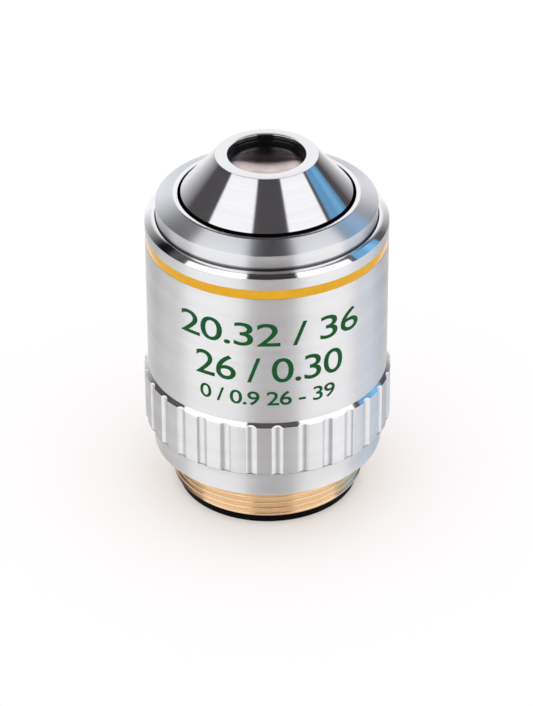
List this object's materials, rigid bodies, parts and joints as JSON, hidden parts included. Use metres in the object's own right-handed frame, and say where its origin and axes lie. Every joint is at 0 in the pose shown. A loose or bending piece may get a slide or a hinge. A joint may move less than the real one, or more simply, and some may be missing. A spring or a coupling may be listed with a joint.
{
  "type": "microscope objective",
  "caption": "Screw-in microscope objective with a conical nose, satin sleeve with a yellow band, fluted grip ring and fine brass rear thread.",
  "frame": {"origin": "on the optical axis, in the plane of the rear ring's face that the objective stands on", "axes": "+Z along the optical axis, from the rear thread towards the specimen; -Y faces the viewer of the picture"},
  "size_m": [0.026, 0.026, 0.0391],
  "materials": {
    "brass": "bare turned brass, bright",
    "satin_chrome": "satin chrome plate over turned brass",
    "polished_chrome": "polished chrome plate over turned brass",
    "band_enamel": "yellow enamel, satin",
    "black_anodised": "matt black anodised",
    "coated_glass": "optical glass with a pinkish anti-reflection coating",
    "optical_glass": "polished optical glass"
  },
  "bodies": {
    "root": {"main_barrel": "brass", "grip_ring": "satin_chrome", "outer_sleeve": "satin_chrome", "colour_band": "band_enamel", "front_ring": "polished_chrome", "nose_cone": "polished_chrome", "front_cell": "black_anodised", "front_lens": "coated_glass", "front_lens_ring": "black_anodised", "lens_tube": "black_anodised", "lock_ring": "black_anodised", "second_cell": "black_anodised", "second_lens": "optical_glass", "second_lens_ring": "black_anodised", "upper_spacer": "black_anodised", "middle_cell": "black_anodised", "middle_crown": "optical_glass", "middle_flint": "optical_glass", "middle_lens_ring": "black_anodised", "lower_spacer": "black_anodised", "aperture_stop": "black_anodised", "rear_cell": "black_anodised", "rear_crown": "optical_glass", "rear_flint": "optical_glass", "rear_lens_ring": "black_anodised", "parfocal_shim": "brass", "phase_cell": "black_anodised", "phase_plate": "coated_glass", "phase_lock_ring": "black_anodised", "rear_ring": "black_anodised"}
  },
  "joints": []
}
